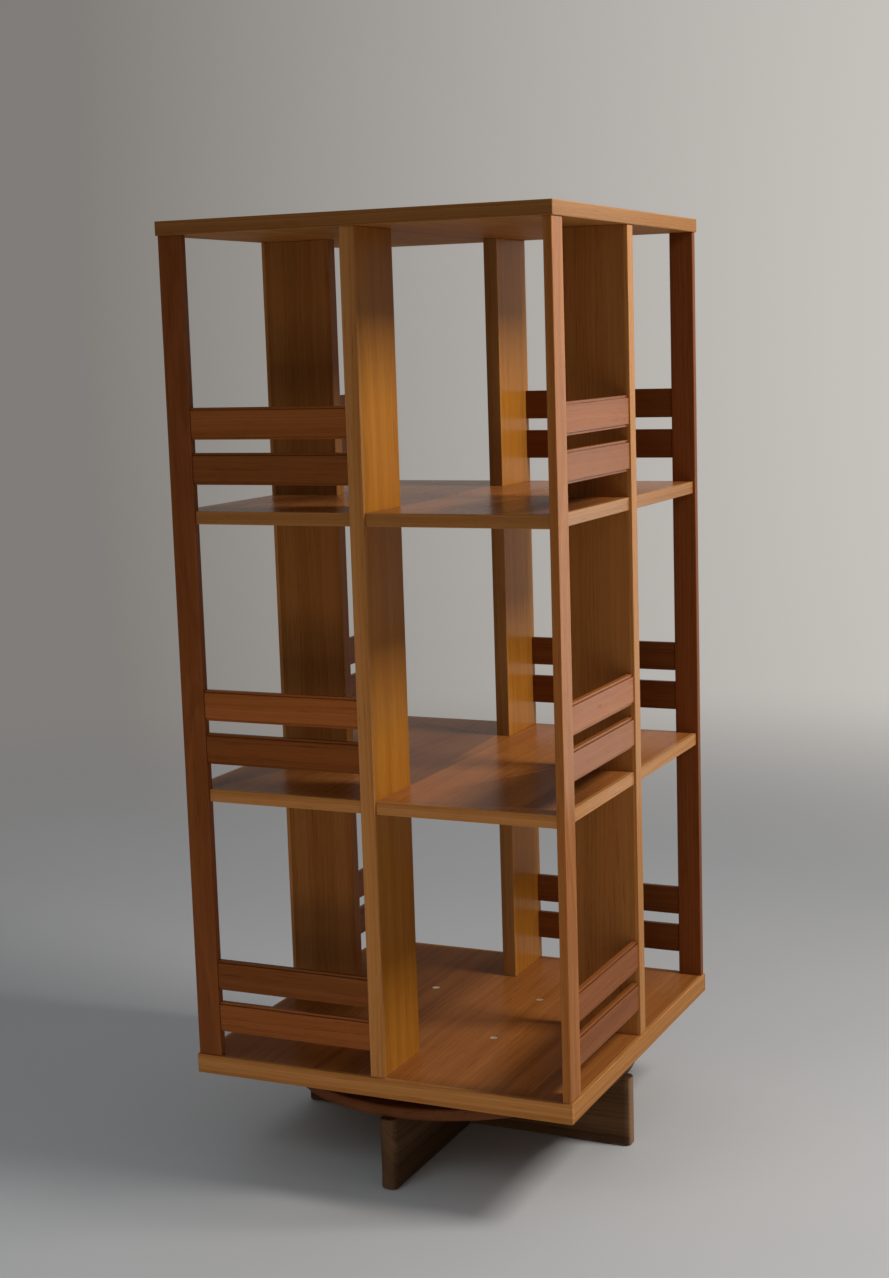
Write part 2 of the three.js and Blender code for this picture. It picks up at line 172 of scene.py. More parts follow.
def turn(profile, sides, centre=(0.0, 0.0, 0.0), radius_at=None):
    """A closed bmesh of revolution. The profile is (radius, z, wear) from one end to the other,
    closed on the axis where it ends there and onto itself where it doesn't."""
    bm = bmesh.new()
    layer = bm.verts.layers.float.new(WEAR_AND_SHADE_LAYER)
    origin = Vector(centre)
    rings = []
    for radius, z, wear in profile:
        if radius < 1e-7:
            vert = bm.verts.new(origin + Vector((0, 0, z)))
            vert[layer] = wear
            rings.append([vert])
            continue
        ring = []
        for k in range(sides):
            angle = 2 * math.pi * k / sides
            here = radius_at(radius, angle, z) if radius_at else radius
            where = origin + Vector((here * math.cos(angle), here * math.sin(angle), z))
            vert = bm.verts.new(where)
            vert[layer] = wear * wear_noise(*where)
            ring.append(vert)
        rings.append(ring)
    pairs = list(zip(rings, rings[1:]))
    if len(rings[0]) > 1 and len(rings[-1]) > 1:
        pairs.append((rings[-1], rings[0]))
    for low, high in pairs:
        for k in range(sides):
            after = (k + 1) % sides
            corners = []
            for ring, index in ((low, k), (low, after), (high, after), (high, k)):
                vert = ring[index] if len(ring) > 1 else ring[0]
                if vert not in corners:
                    corners.append(vert)
            bm.faces.new(corners)
    bmesh.ops.recalc_face_normals(bm, faces=bm.faces)
    return bm


def arc_points(centre, radius, start, end, steps, wear=0.0):
    """Points of an arc in the (radius, z) plane, angles in degrees from the outward direction."""
    points = []
    for k in range(steps + 1):
        angle = math.radians(start + (end - start) * k / steps)
        r = centre[0] + radius * math.cos(angle)
        z = centre[1] + radius * math.sin(angle)
        points.append((r, z, wear))
    return points


def to_mesh(bm, name):
    mesh = bpy.data.meshes.new(name)
    bm.to_mesh(mesh)
    bm.free()
    return mesh


def combine(bm, others):
    """Adds the other bmeshes to bm and frees them."""
    for other in others:
        mesh = to_mesh(other, "part")
        bm.from_mesh(mesh)
        bpy.data.meshes.remove(mesh)
    return bm


def boolean(bm, tools, operation="DIFFERENCE", solver="EXACT"):
    """bm with the tool bmeshes cut away or joined on, as a new bmesh."""
    body = bpy.data.objects.new("blank", to_mesh(bm, "blank"))
    tool = bpy.data.objects.new("tool", to_mesh(combine(bmesh.new(), tools), "tool"))
    bpy.context.scene.collection.objects.link(body)
    bpy.context.scene.collection.objects.link(tool)
    modifier = body.modifiers.new("cut", "BOOLEAN")
    modifier.operation = operation
    modifier.solver = solver
    modifier.object = tool
    depsgraph = bpy.context.evaluated_depsgraph_get()
    made = bpy.data.meshes.new_from_object(body.evaluated_get(depsgraph), depsgraph=depsgraph)
    result = bmesh.new()
    result.from_mesh(made)
    for thing in (body, tool):
        mesh = thing.data
        bpy.data.objects.remove(thing)
        bpy.data.meshes.remove(mesh)
    bpy.data.meshes.remove(made)
    return result


def finish_piece(node, bm, material):
    """Makes the piece that stands for a CAD node, on the node's own body."""
    piece = bpy.data.objects.new(node + "_model", to_mesh(bm, node + "_model"))
    bpy.context.scene.collection.objects.link(piece)
    mesh = piece.data
    mesh.polygons.foreach_set("use_smooth", [True] * len(mesh.polygons))
    mesh.set_sharp_from_angle(angle=SHARP_ANGLE)
    mesh.materials.append(material)
    weighted = piece.modifiers.new("flat_faces", "WEIGHTED_NORMAL")
    weighted.keep_sharp = True
    weighted.weight = 90
    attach(piece, frame["nodes"][node]["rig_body"])
    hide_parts(node)
    return piece


# ---- material helpers ------------------------------------------------


class Shader:
    """A short way to write a node tree."""

    def __init__(self, tree):
        self.tree = tree

    def node(self, kind, inputs=None, **settings):
        made = self.tree.nodes.new(kind)
        for key, value in settings.items():
            setattr(made, key, value)
        for key, value in (inputs or {}).items():
            self.feed(made.inputs[key], value)
        return made

    def feed(self, socket, value):
        if isinstance(value, bpy.types.NodeSocket):
            self.tree.links.new(value, socket)
        elif value is not None:
            socket.default_value = value

    def maths(self, operation, a, b=None, clamp=False):
        made = self.node("ShaderNodeMath", {0: a, 1: b}, operation=operation, use_clamp=clamp)
        return made.outputs[0]

    def vector(self, operation, a, b=None, scale=None):
        made = self.node("ShaderNodeVectorMath", {0: a, 1: b, 3: scale}, operation=operation)
        return made.outputs["Value" if operation in ("DOT_PRODUCT", "LENGTH") else "Vector"]

    def noise(self, vector, scale, detail=2.0, roughness=0.5):
        made = self.node("ShaderNodeTexNoise", {"Vector": vector, "Scale": scale, "Detail": detail,
                                                "Roughness": roughness})
        return made.outputs[0]

    def stripes(self, value, scale, detail=2.0, roughness=0.5):
        made = self.node("ShaderNodeTexNoise", {"W": value, "Scale": scale, "Detail": detail,
                                                "Roughness": roughness}, noise_dimensions="1D")
        return made.outputs[0]

    def span(self, value, low, high, to_low=0.0, to_high=1.0, smooth=True):
        numbers = {0: value, 1: low, 2: high, 3: to_low, 4: to_high}
        kind = "SMOOTHSTEP" if smooth else "LINEAR"
        return self.node("ShaderNodeMapRange", numbers, interpolation_type=kind).outputs[0]

    def split(self, vector):
        return self.node("ShaderNodeSeparateXYZ", {0: vector}).outputs

    def tinted(self, base, tint):
        return self.mix(1.0, base, colour(*tint), "MULTIPLY")

    def mix(self, factor, a, b, blend="MIX"):
        made = self.node("ShaderNodeMix", {0: factor, 6: a, 7: b}, data_type="RGBA",
                         blend_type=blend)
        return made.outputs[2]


def colour(r, g, b):
    return (r, g, b, 1.0)


def empty_tree(owner):
    """The emptied node tree of a material or a world."""
    owner.use_nodes = True
    owner.node_tree.nodes.clear()
    return Shader(owner.node_tree)


def add_socket(group, name, kind, way="INPUT", value=None):
    socket = group.interface.new_socket(name=name, in_out=way, socket_type="NodeSocket" + kind)
    if value is not None:
        socket.default_value = value
    return socket


MIDDLE_TONE = 0.55  # where on the palette's scale plain wood lies, above half for the dark flecks


def wood_group():
    """Solid wood. Its vector is in grain space: X runs along the fibres, Y and Z across them, with
    the heart of the tree on the X axis."""
    group = bpy.data.node_groups.new("wood_grain", "ShaderNodeTree")
    add_socket(group, "Vector", "Vector")
    add_socket(group, "Dark", "Color")
    add_socket(group, "Middle", "Color")
    add_socket(group, "Light", "Color")
    add_socket(group, "Contrast", "Float", value=1.0)
    add_socket(group, "Color", "Color", "OUTPUT")
    add_socket(group, "Rough", "Float", "OUTPUT")
    add_socket(group, "Height", "Float", "OUTPUT")
    s = Shader(group)
    source = s.node("NodeGroupInput").outputs
    place = source["Vector"]

    # The growth rings wander slowly along the board.
    wander = s.node("ShaderNodeTexNoise", {"Vector": s.vector("MULTIPLY", place, (2.2, 13, 13)),
                                           "Scale": 1.0, "Detail": 2.0}).outputs["Color"]
    wander = s.vector("SCALE", s.vector("SUBTRACT", wander, (0.5, 0.5, 0.5)), scale=0.016)
    bent = s.vector("ADD", place, wander)
    ring = s.vector("LENGTH", s.vector("MULTIPLY", bent, (0, 1, 1)))

    broad = s.stripes(ring, 42, 1.0)
    bands = s.stripes(ring, 150, 2.0, 0.55)
    lines = s.span(s.stripes(ring, 620, 2.0, 0.6), 0.36, 0.66)
    fibre = s.noise(s.vector("MULTIPLY", bent, (22, 1500, 1500)), 1.0, 2.0, 0.6)
    streak = s.noise(s.vector("MULTIPLY", bent, (1.3, 95, 95)), 1.0, 3.0, 0.6)
    pores = s.noise(s.vector("MULTIPLY", bent, (75, 1900, 1900)), 1.0, 1.0, 0.5)
    pores = s.span(pores, 0.62, 0.74)
    flecks = s.noise(s.vector("MULTIPLY", bent, (18, 560, 560)), 1.0, 2.0, 0.6)
    flecks = s.span(flecks, 0.56, 0.72)

    def centred(value, amount):
        return s.maths("MULTIPLY", s.maths("SUBTRACT", value, 0.5), amount)

    tone = 0.0
    for layer, share in ((broad, 0.70), (bands, 0.50), (lines, 0.28), (streak, 0.60), (fibre, 0.42)):
        tone = s.maths("ADD", tone, centred(layer, share))
    tone = s.maths("MULTIPLY", tone, source["Contrast"])
    for layer, share in ((pores, 0.20), (flecks, 0.30)):
        tone = s.maths("SUBTRACT", tone, s.maths("MULTIPLY", layer, share))
    tone = s.maths("ADD", tone, MIDDLE_TONE, clamp=True)
    lower = s.mix(s.span(tone, 0.0, 0.5, smooth=False), source["Dark"], source["Middle"])
    shade = s.mix(s.span(tone, 0.5, 1.0, smooth=False), lower, source["Light"])

    rough = s.maths("ADD", centred(fibre, 0.10), s.maths("MULTIPLY", pores, 0.22))
    rough = s.maths("ADD", rough, centred(streak, 0.08))
    height = s.maths("SUBTRACT", centred(fibre, 0.5), pores)
    sink = s.node("NodeGroupOutput").inputs
    s.feed(sink["Color"], shade)
    s.feed(sink["Rough"], rough)
    s.feed(sink["Height"], height)
    return group


WOOD = wood_group()

# How much lighter or darker some boards are than the rest of their kind; the two corner boards'
# values below are painted light and painted shade.
TONES_AND_PAINTED_LIGHT = {
    # The right corner board is painted lighter, painted light from the window; the back one darker,
    # painted shade on its inner face.
    "corner_board_front": 0.86, "corner_board_right": 1.30, "corner_board_back": 0.74,
    "divider_right": 0.96, "divider_left": 0.90,
    "slat_front_top_upper": 1.06, "slat_front_top_lower": 0.80,
    "slat_front_middle_upper": 1.15, "slat_front_middle_lower": 0.73,
    "slat_front_bottom_upper": 0.72, "slat_front_bottom_lower": 1.02,
    "slat_right_top_upper": 0.96, "slat_right_top_lower": 0.94,
    "slat_right_middle_upper": 1.22, "slat_right_middle_lower": 1.10,
    "slat_right_bottom_upper": 0.88, "slat_right_bottom_lower": 0.84,
}

# Dark, middle and light tones of each wood, linear.
PALETTES = {
    "panel": ((0.175, 0.056, 0.014), (0.300, 0.110, 0.027), (0.400, 0.165, 0.046)),
    "lipping": ((0.285, 0.112, 0.028), (0.395, 0.170, 0.048), (0.500, 0.236, 0.078)),
    "board": ((0.150, 0.041, 0.0105), (0.245, 0.074, 0.020), (0.330, 0.109, 0.033)),
    # The board wood painted lighter and yellower: painted light for the board in the window's light.
    "board_sunned": ((0.160, 0.053, 0.0125), (0.262, 0.096, 0.024), (0.353, 0.141, 0.039)),
    "divider": ((0.215, 0.074, 0.008), (0.365, 0.139, 0.0165), (0.480, 0.200, 0.032)),
    "divider_side": ((0.200, 0.073, 0.0165), (0.340, 0.138, 0.034), (0.447, 0.199, 0.064)),
    "slat": ((0.165, 0.046, 0.011), (0.270, 0.085, 0.021), (0.360, 0.125, 0.036)),
    "disc": ((0.064, 0.022, 0.009), (0.126, 0.046, 0.018), (0.186, 0.072, 0.030)),
    "foot": ((0.036, 0.016, 0.008), (0.078, 0.041, 0.019), (0.130, 0.070, 0.035)),
}
AXES = {"x": 0, "y": 1, "z": 2}

# Cut ends drink more oil and look darker. The feet's ends are painted lighter instead: painted
# light, brightest on the end that faces the window.
END_DARK = (0.03, 0.012, 0.006)
FOOT_END_LIGHT = {
    "cross_foot_front_back": (0.120, 0.070, 0.036),
    "cross_foot_left_right": (0.440, 0.265, 0.150),
}
END_SHARE = 0.45

PALE_EDGE = (1.55, 1.50, 1.45)  # an edge against the wood next to it, paler partly from rubbing and partly as a painted highlight along the arris
# Painted shade in inside corners such as the slats' rebates, and how strongly it darkens them.
CORNER_SHADE = (0.060, 0.022, 0.010)
CORNER_SHADE_SHARE = 0.55
INNER_EDGE = (0.76, 1.00, 2.60)  # a divider's inner edge against its sides
UNDERSIDE_TINT = (1.50, 1.72, 1.60)  # downward faces against the top, lighter
UNDERSIDE_ROUGHNESS = 0.3

# Refraction index of the finish, low since the oiled wood hardly shines.
SHEEN = {
    "top_panel": 1.09, "bottom_panel": 1.06, "lower_shelf": 1.12, "upper_shelf": 1.15,
    "divider_front": 1.085, "divider_back": 1.15,
}
SHEEN_DEFAULT = 1.12


def toned(palette, tone, warmth):
    """The palette's three tones, brighter by tone and redder by warmth."""
    tint = (tone * (1 + 0.4 * warmth), tone, tone * (1 - 0.5 * warmth))
    return [colour(*(c * t for c, t in zip(shade, tint))) for shade in PALETTES[palette]]


def grain_space(s, place, axis, seed):
    """The object's place turned so that X runs along the grain, and moved to its own part of the
    tree."""
    draw = random.Random(seed)
    split = s.split(place)
    order = [split[AXES[axis]]] + [split[k] for k in range(3) if k != AXES[axis]]
    joined = s.node("ShaderNodeCombineXYZ", {0: order[0], 1: order[1], 2: order[2]}).outputs[0]
    away = draw.uniform(0.10, 0.32)
    angle = draw.uniform(0, 2 * math.pi)
    shift = (draw.uniform(-3, 3), away * math.cos(angle) + 0.35, away * math.sin(angle) + 0.35)
    return s.vector("ADD", joined, shift)


def wood_material(node, palette, axis, tone=1.0, warmth=0.0, contrast=1.0, roughness=0.25,
                  lipping=None, lighter_underside=False, inner_edge=None):
    """Oiled wood on one piece. lipping is (palette, tone, mask builder) for its solid edges,
    inner_edge the axis and the way that a greyer inner edge looks."""
    material = bpy.data.materials.new(node + "_wood")
    s = empty_tree(material)
    coordinates = s.node("ShaderNodeTexCoord").outputs
    place = coordinates["Object"]
    facing = s.split(coordinates["Normal"])
    vector = grain_space(s, place, axis, node)
    tones = toned(palette, tone, warmth)
    if lipping:
        edge_palette, edge_tone, builder = lipping
        mask, edge_vector = builder(s, place, node)
        vector = s.mix(mask, vector, edge_vector)
        edge = toned(edge_palette, edge_tone, 0.0)
        tones = [s.mix(mask, inner, outer) for inner, outer in zip(tones, edge)]
    grain = s.node("ShaderNodeGroup", node_tree=WOOD)
    s.feed(grain.inputs["Vector"], vector)
    for name, value in zip(("Dark", "Middle", "Light"), tones):
        s.feed(grain.inputs[name], value)
    if lipping:
        contrast = s.maths("MULTIPLY", contrast, s.span(mask, 0, 1, 1.0, LIPPING_CONTRAST))
    s.feed(grain.inputs["Contrast"], contrast)
    base = grain.outputs["Color"]

    end_grain = s.span(s.maths("ABSOLUTE", facing[AXES[axis]]), 0.6, 0.95, 0.0, END_SHARE)
    if lipping:
        end_grain = s.maths("MULTIPLY", end_grain, s.maths("SUBTRACT", 1.0, mask))
    # Cut ends darker, and the feet's ends lighter as painted light.
    base = s.mix(end_grain, base, colour(*FOOT_END_LIGHT.get(node, END_DARK)))

    if inner_edge:
        edge_axis, way = inner_edge
        inwards = s.span(s.maths("MULTIPLY", facing[AXES[edge_axis]], way), 0.6, 0.9)
        base = s.mix(inwards, base, s.tinted(base, INNER_EDGE))

    # Handling and painted light: soft smudges in the sheen, pale edges that are partly rubbed and
    # partly a painted highlight, and painted shade in the inside corners.
    smudge = s.noise(place, 9.0, 3.0, 0.6)
    wear = s.node("ShaderNodeAttribute", attribute_name=WEAR_AND_SHADE_LAYER).outputs["Fac"]
    # Pale edges, partly rubbed and partly a painted highlight along the arris.
    rub_and_highlight = s.maths("MULTIPLY", s.span(wear, 0.25, 0.9), 0.5)
    pale = s.tinted(base, PALE_EDGE)
    base = s.mix(rub_and_highlight, base, pale)
    # Painted shade in the inside corners.
    corner_shade = s.span(wear, -0.9, -0.1, CORNER_SHADE_SHARE, 0.0)
    base = s.mix(corner_shade, base, colour(*CORNER_SHADE))
    rough = s.maths("ADD", roughness, grain.outputs["Rough"])
    rough = s.maths("ADD", rough, s.maths("MULTIPLY", s.maths("SUBTRACT", smudge, 0.5), 0.06))
    # Downward faces are made lighter and rougher.
    if lighter_underside:
        downwards = s.span(facing[AXES["z"]], -0.9, -0.5, 1.0, 0.0)
        rough = s.maths("ADD", rough, s.maths("MULTIPLY", downwards, UNDERSIDE_ROUGHNESS))
        base = s.mix(downwards, base, s.tinted(base, UNDERSIDE_TINT))
    bump = s.node("ShaderNodeBump", {"Strength": 0.5, "Distance": 0.05 * MM,
                                     "Height": grain.outputs["Height"]})
    sheen = SHEEN.get(node, SHEEN_DEFAULT)
    surface = s.node("ShaderNodeBsdfPrincipled", {"Base Color": base, "Roughness": rough,
                                                  "IOR": sheen, "Normal": bump.outputs[0]})
    s.node("ShaderNodeOutputMaterial", {"Surface": surface.outputs[0]})
    return material


LIPPING_WIDTH = 5 * MM
LIPPING_CONTRAST = 1.5  # against the veneer's


def panel_lipping(low, high):
    """Solid strips round a veneered panel. The front and back strips run across the panel."""

    def build(s, place, node):
        split = s.split(place)
        masks = []
        for axis in (0, 1):
            reach = (high[axis] - low[axis]) / 2 - LIPPING_WIDTH
            middle = (high[axis] + low[axis]) / 2
            offset = s.maths("ABSOLUTE", s.maths("SUBTRACT", split[axis], middle))
            masks.append(s.maths("GREATER_THAN", offset, reach))
        along_y = grain_space(s, place, "y", node + "_side_strip")
        along_x = grain_space(s, place, "x", node + "_front_strip")
        return s.maths("MAXIMUM", *masks), s.mix(masks[1], along_y, along_x)

    return build


def divider_lipping(low, high, axis, outwards):
    """A solid strip down the outer edge of a divider board."""

    def build(s, place, node):
        split = s.split(place)
        k = AXES[axis]
        edge = high[k] - LIPPING_WIDTH if outwards > 0 else low[k] + LIPPING_WIDTH
        test = "GREATER_THAN" if outwards > 0 else "LESS_THAN"
        mask = s.maths(test, split[k], edge)
        return mask, grain_space(s, place, "z", node + "_strip")

    return build


GRIME = (0.05, 0.045, 0.04)


def metal_material(name, tone, roughness):
    """Plated steel with spangle, fine scratches and grime."""
    material = bpy.data.materials.new(name)
    s = empty_tree(material)
    place = s.node("ShaderNodeTexCoord").outputs["Object"]
    cloud = s.noise(place, 160.0, 4.0, 0.65)
    spangle = s.node("ShaderNodeTexVoronoi", {"Vector": place, "Scale": 420.0}).outputs["Color"]
    spangle = s.split(spangle)[0]
    scratches = s.noise(s.vector("MULTIPLY", place, (300, 2600, 2600)), 1.0, 2.0, 0.6)
    worn = s.span(scratches, 0.55, 0.75)
    dirt = s.span(cloud, 0.52, 0.78)
    base = s.mix(s.maths("MULTIPLY", spangle, 0.22), colour(*tone),
                 colour(*(c * 0.72 for c in tone)))
    base = s.mix(s.maths("MULTIPLY", dirt, 0.55), base, colour(*GRIME))
    rough = s.maths("ADD", roughness, s.maths("MULTIPLY", cloud, 0.22))
    rough = s.maths("ADD", rough, s.maths("MULTIPLY", worn, 0.12))
    metallic = s.maths("SUBTRACT", 1.0, s.maths("MULTIPLY", dirt, 0.5))
    bump = s.node("ShaderNodeBump", {"Strength": 0.35, "Distance": 0.02 * MM, "Height": scratches})
    surface = s.node("ShaderNodeBsdfPrincipled", {"Base Color": base, "Roughness": rough,
                                                  "Metallic": metallic, "Normal": bump.outputs[0]})
    s.node("ShaderNodeOutputMaterial", {"Surface": surface.outputs[0]})
    return material


SCREW_STEEL = metal_material("screw_zinc", (0.95, 0.82, 0.60), 0.34)
PLATE_STEEL = metal_material("plate_zinc", (0.50, 0.51, 0.52), 0.30)
BEARING_STEEL = metal_material("bearing_steel", (0.62, 0.63, 0.64), 0.16)
GLIDE_STEEL = metal_material("glide_nickel", (0.60, 0.58, 0.54), 0.24)

# ---- rack: panels and shelves ----------------------------------------


def rectangle(low_u, low_v, high_u, high_v):
    return [(low_u, low_v), (high_u, low_v), (high_u, high_v), (low_u, high_v)]


def edge_variation(node, amount=0.35):
    """How a board's rounding changes along its length."""
    draw = random.Random(node + "_edge")
    phase = draw.uniform(0, 50)

    def radius_at(along):
        return 1.0 + amount * noise.noise(Vector((along * 14 + phase, phase, 0.0)))

    return radius_at


def panel_mesh(node):
    """A panel with its grain along Y."""
    low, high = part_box(node)
    sections = loft(rectangle(low.x, low.z, high.x, high.z), high.y - low.y,
                    radius_at=edge_variation(node))
    return mesh_of_sections(sections, lambda u, v, s: (u, low.y + s, v))


def screw_cutter(screw, clearance=0.3 * MM, sides=48):
    """The space a countersunk or pan head screw passes through, from its CAD box."""
    low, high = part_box(screw["node"])
    centre = (low + high) / 2
    mouth = screw["head"] + clearance
    bore = screw["shank"] + clearance
    bottom = low.z - high.z - 1 * MM
    if screw["countersunk"]:
        profile = [(0, bottom, 0), (bore, bottom, 0), (bore, -screw["height"], 0),
                   (mouth, -0.3 * MM, 0), (mouth, 2 * MM, 0), (0, 2 * MM, 0)]
    else:
        profile = [(0, bottom, 0), (bore, bottom, 0), (bore, 2 * MM, 0), (0, 2 * MM, 0)]
    return turn(profile, sides, (centre.x, centre.y, high.z))


RACK_SCREW = {"head": 4.8 * MM, "height": 2.7 * MM, "shank": 2.5 * MM, "countersunk": True}
PLATE_SCREW = {"head": 4.4 * MM, "height": 2.4 * MM, "shank": 1.9 * MM, "countersunk": False}
DISC_SCREW = {"head": 4.4 * MM, "height": 2.6 * MM, "shank": 2.1 * MM, "countersunk": True}


def screws(kind, family):
    return [dict(kind, node=f"{family}_{k}") for k in (1, 2, 3, 4)]


# Tone and warmth of a panel's veneer, and tone of its edge strips.
PANEL_TONES = {"top_panel": (0.92, 0.0, 0.76), "bottom_panel": (0.88, 0.18, 1.04)}
SHELF_TONES = {"lower_shelf": (1.04, 0.18, 1.06), "upper_shelf": (0.98, 0.18, 0.88)}
PANEL_CONTRAST = 0.75


def panel_material(node, tones):
    tone, warmth, edge = tones
    return wood_material(node, "panel", "y", tone=tone, warmth=warmth, contrast=PANEL_CONTRAST,
                         lipping=("lipping", edge, panel_lipping(*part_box(node))),
                         lighter_underside=True)


def build_panels():
    for node, tones in PANEL_TONES.items():
        bm = panel_mesh(node)
        if node == "bottom_panel":
            bm = boolean(bm, [screw_cutter(s) for s in screws(RACK_SCREW, "rack_screw")])
        finish_piece(node, bm, panel_material(node, tones))


SHELF_GAP = 0.3 * MM
SHELF_ARRIS = 0.7 * MM
SHELF_STEP = 20 * MM


def shelf_outline(node):
    """A shelf's outline: a square notched round the corner boards and slotted round the dividers,
    both taken from their own boxes."""
    low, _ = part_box(node)
    gap = SHELF_GAP
    _, board_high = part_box("corner_board_front")
    divider_low, divider_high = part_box("divider_front")
    notch_u = board_high.x + gap
    notch_v = board_high.y + gap
    slot_v = divider_high.y + gap
    front = [(low.x, notch_v), (notch_u, notch_v), (notch_u, low.y), (divider_low.x - gap, low.y),
             (divider_low.x - gap, slot_v), (divider_high.x + gap, slot_v),
             (divider_high.x + gap, low.y)]
    outline = []
    for quarter in range(4):
        for u, v in front:
            for _ in range(quarter):
                u, v = -v, u
            outline.append((u, v))
    return outline


def build_shelves():
    for node, tones in SHELF_TONES.items():
        low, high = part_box(node)
        sections = loft(shelf_outline(node), high.z - low.z, radius=SHELF_ARRIS, step=SHELF_STEP)
        bm = mesh_of_sections(sections, lambda u, v, s: (u, v, low.z + s))
        finish_piece(node, bm, panel_material(node, tones))


# ---- rack: uprights and slats ----------------------------------------


CORNER_ARRIS = 0.8 * MM
STRIP_TONE = 1.08


def upright_mesh(node, radius=ARRIS):
    low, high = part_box(node)
    sections = loft(rectangle(low.x, low.y, high.x, high.y), high.z - low.z, radius,
                    radius_at=edge_variation(node))
    return mesh_of_sections(sections, lambda u, v, s: (u, v, low.z + s))


def build_uprights():
    for face, (axis, outwards) in FACE_WAYS.items():
        draw = random.Random("uprights_" + face)
        node = "corner_board_" + face
        # The corner board in the window's light takes the painted-light copy of the board palette.
        palette = "board_sunned" if face == "right" else "board"
        material = wood_material(node, palette, "z", tone=TONES_AND_PAINTED_LIGHT.get(node, 1.0),
                                 warmth=draw.uniform(-0.04, 0.06), contrast=0.8)
        finish_piece(node, upright_mesh(node, CORNER_ARRIS), material)
        node = "divider_" + face
        low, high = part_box(node)
        strip = ("lipping", STRIP_TONE, divider_lipping(low, high, axis, outwards))
        palette = "divider" if axis == "y" else "divider_side"
        material = wood_material(node, palette, "z",
                                 tone=TONES_AND_PAINTED_LIGHT.get(node, draw.uniform(0.95, 1.05)),
                                 contrast=0.65, lipping=strip,
                                 inner_edge=(axis, -outwards) if face == "back" else None)
        finish_piece(node, upright_mesh(node), material)


SLAT_LIP_HEIGHT = 3 * MM
SLAT_LIP_DEPTH = 2 * MM
SLAT_ARRIS = 0.5 * MM
# Back slats painted darker: painted shade for their inner faces, which the window's light hardly
# reaches.
BACK_SLAT_SHADE = 0.50


def slat_mesh(node, axis, outwards):
    """A slat whose outer face is rebated along its top and bottom edges."""
    low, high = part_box(node)
    depth, length = (1, 0) if axis == "y" else (0, 1)
    face = low[depth] if outwards < 0 else high[depth]
    step_back = face - outwards * SLAT_LIP_DEPTH
    back = high[depth] if outwards < 0 else low[depth]
    outline = [(face, low.z + SLAT_LIP_HEIGHT), (step_back, low.z + SLAT_LIP_HEIGHT),
               (step_back, low.z), (back, low.z), (back, high.z), (step_back, high.z),
               (step_back, high.z - SLAT_LIP_HEIGHT), (face, high.z - SLAT_LIP_HEIGHT)]
    if outwards > 0:
        outline.reverse()
    sections = loft(outline, high[length] - low[length], radius=SLAT_ARRIS,
                    radius_at=edge_variation(node, 0.3))

    def place(u, v, s):
        along = low[length] + s
        return (along, u, v) if depth == 1 else (u, along, v)

    return mesh_of_sections(sections, place)


def build_slats():
    for face, (axis, outwards) in FACE_WAYS.items():
        grain = "x" if axis == "y" else "y"
        for tier in TIERS:
            for level in ("lower", "upper"):
                node = f"slat_{face}_{tier}_{level}"
                draw = random.Random(node)
                default = BACK_SLAT_SHADE if face == "back" else draw.uniform(0.88, 1.05)
                material = wood_material(node, "slat", grain, tone=TONES_AND_PAINTED_LIGHT.get(node, default),
                                         warmth=draw.uniform(-0.05, 0.10), contrast=0.8)
                finish_piece(node, slat_mesh(node, axis, outwards), material)


# ---- screws and glides -----------------------------------------------

THREAD_PITCH = 1.9 * MM
POINT_LENGTH = 4 * MM
SCREW_SIDES = 40


def cross_recess(centre, top, radius, depth):
    """The tapered cross of a screw driver's bit."""
    blades = []
    for turned in (0, 1):
        bm = bmesh.new()
        half, width = radius * 0.52, radius * 0.115
        rings = []
        for z, grow in ((-depth, 0.45), (0.4 * MM, 1.12)):
            ring = []
            for su, sv in ((-1, -1), (1, -1), (1, 1), (-1, 1)):
                u, v = su * half * grow, sv * width * (0.6 + 0.4 * grow)
                if turned:
                    u, v = -v, u
                ring.append(bm.verts.new((centre.x + u, centre.y + v, top + z)))
            rings.append(ring)
        for k in range(4):
            after = (k + 1) % 4
            bm.faces.new((rings[0][k], rings[0][after], rings[1][after], rings[1][k]))
        bm.faces.new(list(reversed(rings[0])))
        bm.faces.new(rings[1])
        bmesh.ops.recalc_face_normals(bm, faces=bm.faces)
        blades.append(bm)
    return blades


